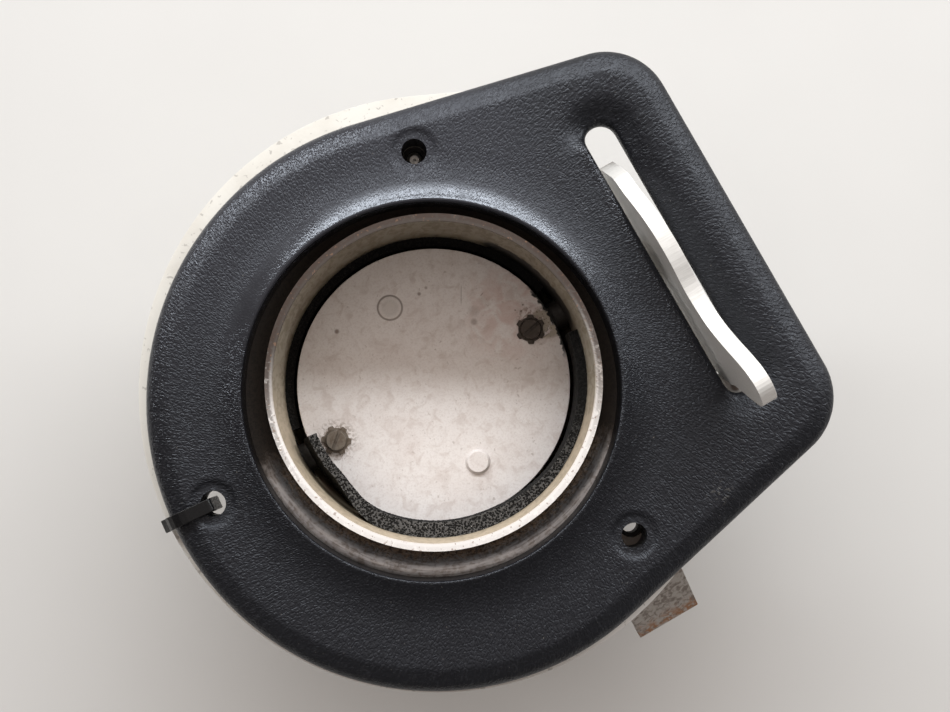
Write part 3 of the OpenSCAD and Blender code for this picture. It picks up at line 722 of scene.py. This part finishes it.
def strip_mesh(name, first, last, low, outer, inner, finish, seed):
    """A foam strip between two radii, which keeps clear of the turning disc."""
    mesh = bmesh.new()
    steps = int((last - first) * ROWS_A_DEGREE)
    rows = []
    top = low + STRIP_HEIGHT
    for i in range(steps + 1):
        angle = first + (last - first) * i / steps
        c = math.cos(math.radians(angle))
        s = math.sin(math.radians(angle))
        bottom = low
        foot_r = outer(angle, 0.0) - FOOT_DEPTH
        if low > SHAFT_Z and DISC_ROOM > foot_r:
            bottom = max(low, SHAFT_Z + math.sqrt(max(0.0, DISC_ROOM ** 2 - foot_r ** 2)))
        row = []
        for inwards, up in section:
            z = bottom + (top - bottom) * up
            lean = (z - low) / STRIP_HEIGHT
            r_out = outer(angle, lean) - GLUE_GAP
            r_in = inner(angle, lean) + INNER_TRIM
            r = r_out + (r_in - r_out) * inwards
            disc_reach = DISC_ROOM ** 2 - (z - SHAFT_Z) ** 2
            if low > SHAFT_Z and disc_reach > 0:
                r = min(max(r, math.sqrt(disc_reach)), r_out)
            p = Vector((r * c, r * s, z))
            pore = noise.voronoi(p * PORE_SCALE + Vector((seed, 0, 0)))[0]
            push = -PORE_DEPTH * soft_step(1 - pore[0] * 1.6) + WAVE_DEPTH * noise.noise(p * WAVE_SCALE)
            if r > r_out - STILL_WALL:
                push = min(push, 0.0)
            p += Vector((-c, -s, 0)) * push
            fray = FRAY_DEPTH * noise.noise(p * FRAY_SCALE + Vector((9, 4, seed)))
            p.z = min(p.z + fray, top)
            row.append(mesh.verts.new(p * MM))
        rows.append(row)
    for a, b in zip(rows, rows[1:]):
        for i in range(len(a)):
            j = (i + 1) % len(a)
            mesh.faces.new((a[i], a[j], b[j], b[i]))
    mesh.faces.new(rows[0])
    mesh.faces.new(list(reversed(rows[-1])))
    bmesh.ops.recalc_face_normals(mesh, faces=mesh.faces)
    return to_object(mesh, name, finish, 70)


# %% [markdown]
# ### The foam's finish
# Foam is a heap of tiny open bubbles, so its colour and its bump both come from small cells: dark in the
# holes, and a dusty grey on the thin walls between them. The grey shows fully only on the front edge
# towards the left. Lower down, on the strip behind the disc and towards the right it is held back as
# painted shade.

# %% Finish the foam seals
foam = Finish("porous_foam", (0.007, 0.0068, 0.0066), 0.95, specular=0.2)
bubbles = foam.cells(2.5)
# Painted shade: the grey is held back below the front edge, on the rear strip and at the right end.
dust_where_lit = foam.times(foam.span(foam.axis("Z"), 43.0, 43.9, 0.12, 1), foam.span(foam.axis("X"), 27, 12, 0.1, 1))
foam.tint(foam.times(foam.span(bubbles, 0.47, 0.72), dust_where_lit), (0.085, 0.083, 0.082))
foam.tint(foam.times(foam.span(foam.noise(4.5, 2), 0.67, 0.7), dust_where_lit), (0.42, 0.41, 0.4))
foam.bump((bubbles, 0.15), (foam.noise(5, 2), 0.08))
foam_finish = foam.done()
front_foam = strip_mesh("front_foam", 173, 351, 33.6, front_outer, front_inner, foam_finish, 3.0)
rear_foam = strip_mesh("rear_foam", 12, 168, 21.3, lambda angle, up: STRIP_WALL_R,
                       lambda angle, up: STRIP_WALL_R - STRIP, foam_finish, 7.0)
for strip, node in ((front_foam, "front_seal_strip"), (rear_foam, "rear_seal_strip")):
    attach(strip, "housing")
    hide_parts(node)
print("foam faces:", len(front_foam.data.polygons), len(rear_foam.data.polygons))

# %% [markdown]
# ## The metal duct
# The duct is turned from aluminium. Its rim is near white low in the picture, with scratches and brown
# stains, and at the top it is painted nearly black, partly brown stain and partly painted shade for its dark
# reflection. The coved gutter round it shows turning lines under a film of dirt, which is thick and brown
# next to the rim. Over the rest of the gutter, except low in the picture, it is painted nearly black: dirt
# at the left and painted shade elsewhere. The bore is dull, and it is painted lighter on its low side,
# where the light falls. All of that follows height and distance from the axis, so the finish mixes its
# colours by those two and breaks them up with noise.

# %% Finish the duct
duct = Finish("stained_aluminium", (0.66, 0.63, 0.6), 0.38, 0.7)
height = duct.axis("Z")
radius = duct.ring_distance((0, 0))
across = duct.axis("X")
along = duct.axis("Y")
low_side = duct.span(duct.plus(along, duct.times(across, 0.6)), 8, -16)
up_picture = duct.plus(duct.times(along, 0.87), duct.times(across, 0.3))
down_picture = duct.plus(duct.times(along, -0.91), duct.times(across, -0.42))
round_it = duct.outwards((0, 0), 32.0)
oblique = duct.stretch((1, 1, 1), round_it, (0, 0, 0.6))

bore = duct.span(radius, 32.0, 31.85)
duct.tint(bore, (0.27, 0.24, 0.185), 0.92)
duct.tint(duct.times(bore, duct.span(duct.noise(0.18, 4), 0.45, 0.7, 0, 0.5)), (0.19, 0.16, 0.12))
# Painted light: the bore is lighter beige on its low side, where the light falls, and darker towards the
# top.
duct.tint(duct.times(bore, low_side), (0.54, 0.45, 0.335), 0.9)
streaks = duct.noise(1.0, 3, duct.stretch((1, 0.8, 0.2), round_it), warp=0.6)
streaks = duct.times(duct.span(streaks, 0.42, 0.66), duct.span(low_side, 0, 1, 0.6, 0.25))
duct.tint(duct.times(bore, streaks), (0.15, 0.12, 0.075))
glue_height = duct.plus(height, duct.times(duct.noise(0.5, 4), 9.0))
glue = duct.times(duct.spot((30.4, 9.3, 36.0), 15.0, 3.0), duct.span(glue_height, 48.5, 47.0))
duct.tint(glue, (0.008, 0.0075, 0.007))

rim = duct.span(height, 59.4, 59.8)
rim_low = duct.times(rim, low_side)
rim_top_stain_and_shade = duct.times(rim, duct.span(up_picture, -8, 14))
scratches = duct.span(duct.noise(1.0, 2, duct.stretch((0.6, 3.0, 1), oblique)), 0.42, 0.66, 0, 0.5)
duct.tint(duct.times(rim, duct.span(low_side, 0, 1, 1, 0.25), scratches), (0.25, 0.235, 0.225))
# Brown stain and painted shade: the rim's top nearly black, in place of its dark reflection.
duct.tint(rim_top_stain_and_shade, (0.04, 0.028, 0.021), 0.97)
duct.tint(rim_low, (0.84, 0.8, 0.77), 0.85)
rim_edge = duct.times(rim, duct.span(radius, 32.1, 32.6, 0.15, 1), duct.span(up_picture, -22, 10, 0.15, 1))
stain = duct.times(rim_edge, duct.span(duct.noise(0.9, 4, warp=1.2), 0.32, 0.5))
duct.tint(stain, (0.045, 0.026, 0.018), 0.85)
rust_spots = duct.times(rim, duct.span(duct.noise(1.3, 3), 0.62, 0.66))
duct.tint(rust_spots, (0.2, 0.11, 0.065), 0.6)

gutter = duct.times(duct.span(height, 56.5, 54.5), duct.span(radius, 33.1, 33.3),
                    duct.span(height, 47.4, 48.4))
duct.tint(gutter, (0.32, 0.325, 0.345), 0.8)
film = duct.span(duct.noise(0.9, 5, warp=0.6), 0.45, 0.62, 0, 0.6)
duct.tint(duct.times(gutter, film), (0.16, 0.13, 0.11))
turning_lines = duct.noise(1.0, 3, duct.stretch((3.0, 0.22, 1), round_it))
duct.tint(duct.times(gutter, duct.span(turning_lines, 0.45, 0.68, 0, 0.55)), (0.5, 0.49, 0.48))
duct.tint(duct.times(gutter, duct.span(turning_lines, 0.5, 0.32, 0, 0.5)), (0.1, 0.085, 0.07))
by_rim = duct.span(duct.plus(radius, duct.times(duct.noise(1.1, 5, warp=1.0), 4.5)), 39.0, 36.6)
blotches = duct.times(duct.noise(0.35, 5, warp=0.8), 8.0)
# Dirt at the left and painted shade elsewhere: the whole gutter except its part low in the picture.
dirt_and_shade_side = duct.span(duct.plus(down_picture, blotches), 22.0, 14.0)
gutter_dirt_and_shade = duct.times(gutter, duct.math("MAXIMUM", by_rim, dirt_and_shade_side))
duct.tint(gutter_dirt_and_shade, (0.2, 0.13, 0.078), 0.9)
crumbs = duct.span(duct.noise(1.6, 4, warp=1.0), 0.48, 0.58, 0, 0.9)
duct.tint(duct.times(gutter_dirt_and_shade, crumbs), (0.04, 0.026, 0.016))
# Painted shade, with dirt at the left: that side of the gutter nearly black.
duct.tint(duct.times(gutter, dirt_and_shade_side), (0.018, 0.013, 0.01), 0.92)
black_spots = duct.times(gutter, duct.span(duct.noise(0.45, 4, warp=1.0), 0.6, 0.72))
duct.tint(black_spots, (0.03, 0.024, 0.02), 0.5)

dull = duct.times(gutter_dirt_and_shade, 0.8)
for mask, share in ((bore, 0.6), (rim_top_stain_and_shade, 0.8), (rim_low, 0.9)):
    dull = duct.math("MAXIMUM", dull, duct.times(mask, share))
duct.metal(duct.span(dull, 0.0, 1.0, 0.8, 0.1))
duct.rough(duct.span(dull, 0.0, 1.0, 0.3, 0.7))
brushed = duct.noise(1.0, 2, duct.stretch((0.5, 4.0, 1), oblique))
duct.bump((duct.times(brushed, rim), 0.02), (duct.noise(1.6, 3), 0.02))
duct_finish = duct.done()
print("duct finish has", len(duct.tree.nodes), "nodes")

# %% [markdown]
# ## The disc
# The disc is matt and a little pink, with small stains, a dirty ring round its screws and the torn
# remains of an old seal by one of them. The marks that stand out sit at places that were looked up in the
# photograph, and the fine ones are noise.

# %% Finish the disc
DISC_FACE = 33.3
RIVET_AT = (0, 18.9)
disc = Finish("matt_disc", (0.82, 0.78, 0.765), 0.55, 0.1)


def on_disc(x, y, size, soft):
    return disc.spot((x, y, DISC_FACE), size, soft)


disc.tint(disc.span(disc.noise(0.12, 4, warp=0.6), 0.42, 0.7, 0, 0.4), (0.72, 0.655, 0.63))
grime = disc.span(disc.noise(1.5, 4, warp=0.5), 0.44, 0.6)
for x, y, size, strength in ((-23.8, 0, 5.6, 0.8), (24.3, 3.2, 2.4, 0.3)):
    disc.tint(disc.times(on_disc(x, y, size, size * 0.6), grime), (0.2, 0.14, 0.1), strength)
patches = disc.span(disc.noise(0.22, 3), 0.4, 0.62)
specks = disc.times(disc.span(disc.noise(1.3, 3, warp=0.5), 0.64, 0.7), patches)
disc.tint(specks, (0.3, 0.235, 0.2), 0.45)
disc.tint(disc.span(disc.noise(2.6, 6, warp=0.4), 0.42, 0.7, 0, 0.22), (0.46, 0.375, 0.34))
disc.tint(disc.span(disc.noise(0.4, 5, warp=0.8), 0.48, 0.72, 0, 0.4), (0.5, 0.41, 0.37))
pink = disc.times(on_disc(22.5, 5.5, 15.0, 12.0), disc.span(disc.noise(0.3, 4, warp=0.8), 0.35, 0.65))
disc.tint(pink, (0.6, 0.42, 0.38), 0.6)
disc.tint(disc.times(on_disc(24.9, 2.6, 3.6, 2.8), grime), (0.4, 0.3, 0.26))
for x, y, size, strength in ((6.9, 18.4, 0.55, 0.7), (8.8, 18.8, 0.45, 0.55), (14.1, 7.4, 1.0, 0.5),
                             (15.2, 9.4, 1.7, 0.22), (-12.3, 20.1, 0.7, 0.8), (24.0, 4.4, 0.35, 0.9),
                             (25.0, 5.4, 0.3, 0.9), (23.0, 5.2, 0.25, 0.8)):
    disc.tint(on_disc(x, y, size, size * 0.7), (0.17, 0.11, 0.085), strength)
disc.tint(disc.streak((14.6, 13.8, DISC_FACE), 60, 5.4, 0.3), (0.3, 0.25, 0.22), 0.5)
disc.tint(disc.streak((18.5, 11.7, DISC_FACE), 20, 1.3, 0.3), (0.3, 0.2, 0.16), 0.6)

from_rivet = disc.ring_distance(RIVET_AT)
# Painted shade and a painted highlight: a greyer disc with a lighter middle, so the flat rivet reads as a
# dome.
disc.tint(disc.span(from_rivet, 2.7, 1.2, 0, 0.5), (0.5, 0.47, 0.44))
disc.tint(disc.span(from_rivet, 1.3, 0.9, 0, 0.35), (0.72, 0.67, 0.64))
rivet_ring = disc.span(disc.math("ABSOLUTE", disc.math("SUBTRACT", from_rivet, 2.6)), 0.1, 0.3, 1, 0)
disc.tint(rivet_ring, (0.17, 0.13, 0.11), 0.7)

crust = disc.times(on_disc(27.6, -0.4, 3.9, 1.0), disc.span(disc.noise(1.0, 3), 0.4, 0.46))
disc.tint(crust, (0.42, 0.365, 0.29), 0.9)
disc.tint(disc.times(crust, disc.span(disc.noise(2.2, 3), 0.6, 0.66)), (0.14, 0.1, 0.07))
ragged = disc.plus(disc.ring_distance((0, 0)), disc.times(disc.noise(0.9, 3), 2.2))
torn = disc.times(on_disc(29.6, -0.4, 9.5, 3.0), disc.span(ragged, 29.5, 29.8))
disc.tint(torn, (0.008, 0.007, 0.0065))
disc.rough(disc.patchy(0.5, 0.5, 0.62))
disc.bump((disc.noise(2.5, 3), 0.015), (crust, 0.15), (torn, 0.15))
disc_finish = disc.done()
print("disc finish has", len(disc.tree.nodes), "nodes")

# %% [markdown]
# ## The lever
# The lever is cut from thick sheet aluminium. Its edge was dressed across with a file, which leaves fine
# lines over the edge, and a few patches of it are worn a little darker.

# %% Finish the lever
bare = Finish("bare_lever", (0.7, 0.685, 0.66), 0.42, 0.2)
file_lines = bare.noise(1.0, 3, bare.stretch((0.25, 5.0, 5.0)))
bare.tint(bare.span(file_lines, 0.4, 0.7, 0, 0.5), (0.52, 0.51, 0.49))
worn = bare.span(bare.noise(0.3, 4, warp=0.8), 0.55, 0.7)
bare.tint(worn, (0.6, 0.58, 0.55), 0.15)
bare.rough(bare.patchy(0.8, 0.38, 0.5))
bare.bump((file_lines, 0.015))
lever_finish = bare.done()

# %% [markdown]
# ## Painted plate, steel and nylon
# The plate has an aged cream paint with chips and a few spots of rust, and it is painted lighter low down,
# as painted light where the cover's shadow falls. Round two of its holes it is painted dark as shade: brown
# round the low one and black round the tie's. The steel clip is rusty at its bent end. The screws and their
# toothed washers have gone brown, the shaft, its bushes and the nutplates are painted near black as shade,
# and the tie is plain black nylon.

# %% Finish the plate
paint = Finish("cream_paint", (0.72, 0.695, 0.64), 0.5)
paint.tint(paint.span(paint.noise(0.09, 4), 0.4, 0.7, 0, 0.5), (0.56, 0.52, 0.46))
# Painted light: the paint is lighter low down, where the cover's shadow falls on it.
paint.tint(paint.span(paint.axis("Y"), -10, -45), (0.8, 0.77, 0.75), 0.6)
chips = paint.span(paint.noise(0.8, 4, warp=0.6), 0.62, 0.66)
paint.tint(chips, (0.25, 0.23, 0.21), 0.5)
# Painted shade: brown round the low hole, where the cream plate lies in shade under the cover.
low_hole_shade = paint.spot((18.6, -46.4, PLATE_TOP), 4.2, 1.0)
paint.tint(low_hole_shade, (0.17, 0.125, 0.095), 0.85)
# Painted shade: black round the tie's hole, so the hole reads dark.
tie_hole_shade = paint.spot((-49.7, 0.8, 48.0), 5.0, 1.0)
paint.tint(tie_hole_shade, (0.03, 0.026, 0.022))
for x, y, size, color in ((51.3, -23.7, 1.1, (0.5, 0.27, 0.12)), (52.2, -24.8, 0.6, (0.05, 0.03, 0.02)),
                          (53.2, -31.2, 1.3, (0.12, 0.06, 0.03)), (17.3, -47.0, 0.85, (0.36, 0.31, 0.27)),
                          (17.3, -47.0, 0.4, (0.06, 0.045, 0.035))):
    paint.tint(paint.spot((x, y, PLATE_TOP), size, size * 0.5), color, 0.85)
paint.rough(paint.patchy(0.7, 0.42, 0.6, detail=2))
paint.bump((paint.noise(1.2, 3), 0.03))
plate_finish = paint.done()

# %% Finish the steel


def steel(name, color, roughness, metallic, dirt):
    """Old steel with patches of a darker or browner film."""
    kit = Finish(name, color, roughness, metallic)
    kit.tint(kit.span(kit.noise(0.9, 4, warp=0.7), 0.42, 0.66, 0, 0.8), dirt)
    kit.rough(kit.patchy(1.4, roughness - 0.08, roughness + 0.12))
    kit.bump((kit.noise(2.2, 3), 0.03))
    return kit


plated_finish = steel("plated_steel", (0.45, 0.44, 0.42), 0.4, 0.85, (0.3, 0.27, 0.23)).done()
brown = steel("browned_steel", (0.2, 0.17, 0.14), 0.42, 0.5, (0.12, 0.09, 0.065))
brown.tint(brown.span(brown.axis("X"), -5, 5), (0.045, 0.034, 0.026))
brown_finish = brown.done()
# Painted shade: near-black steel for the shaft, bushes and nutplates, which show only in dark gaps.
shade_dark_finish = steel("steel_dark_as_shade", (0.02, 0.017, 0.015), 0.6, 0.2, (0.01, 0.008, 0.007)).done()
rivet_finish = steel("rivet_aluminium", (0.66, 0.645, 0.62), 0.4, 0.75, (0.45, 0.42, 0.38)).done()
rusty = steel("rusty_clip", (0.4, 0.37, 0.34), 0.6, 0.4, (0.15, 0.12, 0.1))
end_rust = rusty.times(rusty.span(rusty.axis("Y"), -64.0, -67.5),
                       rusty.span(rusty.noise(0.7, 4, warp=0.8), 0.4, 0.62))
rusty.tint(end_rust, (0.3, 0.14, 0.06))
clip_finish = rusty.done()

nylon = Finish("black_nylon", (0.005, 0.005, 0.0055), 0.28, specular=0.22)
nylon.tint(nylon.span(nylon.noise(1.5, 3), 0.6, 0.75, 0, 0.3), (0.015, 0.015, 0.015))
nylon.rough(nylon.patchy(2.0, 0.22, 0.36))
nylon.bump((nylon.noise(3, 2), 0.02))
nylon_finish = nylon.done()
print("finishes:", len(bpy.data.materials))

# %% [markdown]
# ## Dress the CAD pieces
# Each CAD piece keeps its shape and gets its finish. Real edges are never quite sharp, so a small bevel
# rounds them, after a weld that joins the loose triangles. Both are modifiers, which leave the CAD mesh
# itself as it was. The table gives each piece's finish and its bevel's width in millimetres.

# %% Give every CAD piece its finish
DRESS = (
    (plate_finish, {"mounting_plate": 0.25}),
    (duct_finish, {"duct_collar": 0.2}),
    (disc_finish, {"damper_disc": 0.15, "disc_rivets": 0.25}),
    (rivet_finish, {"disc_strap": 0.15, "screw_stub": 0.1, "lever_spacer": 0.15}),
    (brown_finish, {"disc_screws": 0.12, "disc_star_washers": 0.06}),
    (shade_dark_finish, {"damper_shaft": 0.15, "inner_bush": 0.1, "outer_bush": 0.1, "nutplates": 0.12}),
    (plated_finish, {"shaft_end_washer": 0.1, "shaft_clip": 0.1, "spring_washer": 0.08,
                     "lever_washer": 0.1, "lever_nut": 0.15}),
    (lever_finish, {"lever": 0.3}),
    (clip_finish, {"side_bracket": 0.2}),
    (nylon_finish, {"cable_tie": 0.2}))
SHARP_ANGLE = math.radians(35)


def dress(piece, finish, bevel):
    piece.data.materials.clear()
    piece.data.materials.append(finish)
    weld = piece.modifiers.new("weld", "WELD")
    weld.merge_threshold = SAME_PLACE
    round_off = piece.modifiers.new("edges", "BEVEL")
    round_off.width = bevel * MM
    round_off.segments = 3
    round_off.limit_method = "ANGLE"
    round_off.angle_limit = SHARP_ANGLE
    round_off.harden_normals = True


for finish, bevels in DRESS:
    for name, bevel in bevels.items():
        dress(cad[name], finish, bevel)
print("dressed", sum(len(bevels) for _, bevels in DRESS), "pieces")

# %% [markdown]
# ## The rivets
# The rivets of a set are all alike, so one rivet is turned for each set, and Geometry Nodes puts a copy of
# it on every point. The points are the rivets' places, so their number and places stay apart from their
# shape.

# %% Build the tree that sets rivets


def turned(name, profile, sides=28):
    """A mesh turned about Z from (radius, height) pairs, which start and end on the axis."""
    mesh = bmesh.new()
    rows = []
    for r, z in profile:
        if r < 1e-9:
            rows.append([mesh.verts.new((0, 0, z * MM))])
        else:
            rows.append([mesh.verts.new((r * math.cos(2 * math.pi * i / sides) * MM,
                                         r * math.sin(2 * math.pi * i / sides) * MM, z * MM))
                         for i in range(sides)])
    for a, b in zip(rows, rows[1:]):
        for i in range(sides):
            j = (i + 1) % sides
            corners = [a[i % len(a)], a[j % len(a)], b[j % len(b)], b[i % len(b)]]
            mesh.faces.new(list(dict.fromkeys(corners)))
    bmesh.ops.recalc_face_normals(mesh, faces=mesh.faces)
    data = bpy.data.meshes.new(name)
    mesh.to_mesh(data)
    mesh.free()
    obj = bpy.data.objects.new(name, data)
    bpy.context.collection.objects.link(obj)
    return obj


def rivet_tree():
    """A node tree that puts a copy of one rivet on every point and gives it its finish."""
    tree = bpy.data.node_groups.new("set_rivets", "GeometryNodeTree")
    face = tree.interface
    face.new_socket("Geometry", in_out="INPUT", socket_type="NodeSocketGeometry")
    face.new_socket("Rivet", in_out="INPUT", socket_type="NodeSocketObject")
    face.new_socket("Finish", in_out="INPUT", socket_type="NodeSocketMaterial")
    face.new_socket("Geometry", in_out="OUTPUT", socket_type="NodeSocketGeometry")
    start = tree.nodes.new("NodeGroupInput")
    rivet = tree.nodes.new("GeometryNodeObjectInfo")
    copies = tree.nodes.new("GeometryNodeInstanceOnPoints")
    solid = tree.nodes.new("GeometryNodeRealizeInstances")
    paint_on = tree.nodes.new("GeometryNodeSetMaterial")
    end = tree.nodes.new("NodeGroupOutput")
    link = tree.links.new
    link(start.outputs["Rivet"], rivet.inputs["Object"])
    link(start.outputs["Geometry"], copies.inputs["Points"])
    link(rivet.outputs["Geometry"], copies.inputs["Instance"])
    link(copies.outputs["Instances"], solid.inputs["Geometry"])
    link(solid.outputs["Geometry"], paint_on.inputs["Geometry"])
    link(start.outputs["Finish"], paint_on.inputs["Material"])
    link(paint_on.outputs["Geometry"], end.inputs["Geometry"])
    return tree


def grow(name, data, tree, values):
    """Runs a tree on a mesh and returns its result as a plain mesh object."""
    obj = bpy.data.objects.new(name, data)
    bpy.context.collection.objects.link(obj)
    modifier = obj.modifiers.new("grow", "NODES")
    modifier.node_group = tree
    for item in tree.interface.items_tree:
        if item.in_out == "INPUT" and item.name in values:
            modifier[item.identifier] = values[item.name]
    bpy.context.view_layer.update()
    result = bpy.data.meshes.new_from_object(obj.evaluated_get(bpy.context.evaluated_depsgraph_get()))
    obj.modifiers.remove(modifier)
    obj.data = result
    result.name = name
    result.polygons.foreach_set("use_smooth", [True] * len(result.polygons))
    result.set_sharp_from_angle(angle=math.radians(40))
    return obj


set_rivets = rivet_tree()
print("tree:", [n.bl_label for n in set_rivets.nodes])

# %% Measure the rivets' places


def solids_of(node):
    """The lowest and highest corner of each separate solid of a CAD node, sorted, in millimetres."""
    mesh = bmesh.new()
    mesh.from_mesh(cad[node].data)
    bmesh.ops.remove_doubles(mesh, verts=mesh.verts, dist=SAME_PLACE)
    left = set(mesh.verts)
    found = []
    while left:
        todo = [left.pop()]
        island = []
        while todo:
            vert = todo.pop()
            island.append(vert.co / MM)
            for edge in vert.link_edges:
                other = edge.other_vert(vert)
                if other in left:
                    left.remove(other)
                    todo.append(other)
        low = [min(v[i] for v in island) for i in range(3)]
        high = [max(v[i] for v in island) for i in range(3)]
        found.append((low, high))
    mesh.free()
    return sorted(found)


TAIL = 1.0
HEAD_OF_SET = {"collar_rivets": 0.9, "nutplate_rivets": 0.55, "side_bracket_rivets": 0.9}


def rivet_profile(reach, total, head):
    """A domed rivet: a flat upset tail below, a shank and a dome on top, from its lowest point up."""
    dome = [(reach * math.cos(math.radians(a)) * 0.98, total - head + head * math.sin(math.radians(a)))
            for a in (0, 18, 36, 54, 72)]
    return [(0, 0), (reach * 0.7, 0), (reach * 0.8, 0.2), (reach * 0.8, TAIL), (reach * 0.5, TAIL),
            (reach * 0.5, total - head), (reach * 0.92, total - head)] + dome + [(0, total)]


for node, head in HEAD_OF_SET.items():
    solids = solids_of(node)
    low, high = solids[0]
    reach = (high[0] - low[0]) / 2
    model = turned(node + "_model", rivet_profile(reach, high[2] - low[2], head))
    places = [((a[0] + b[0]) / 2 * MM, (a[1] + b[1]) / 2 * MM, a[2] * MM) for a, b in solids]
    points = bpy.data.meshes.new(node + "_points")
    points.from_pydata(places, [], [])
    rivets = grow(node + "_domed", points, set_rivets, {"Rivet": model, "Finish": rivet_finish})
    bpy.data.objects.remove(model)
    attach(rivets, "housing")
    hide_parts(node)
    print(node, len(solids), "rivets, radius", round(reach, 2))
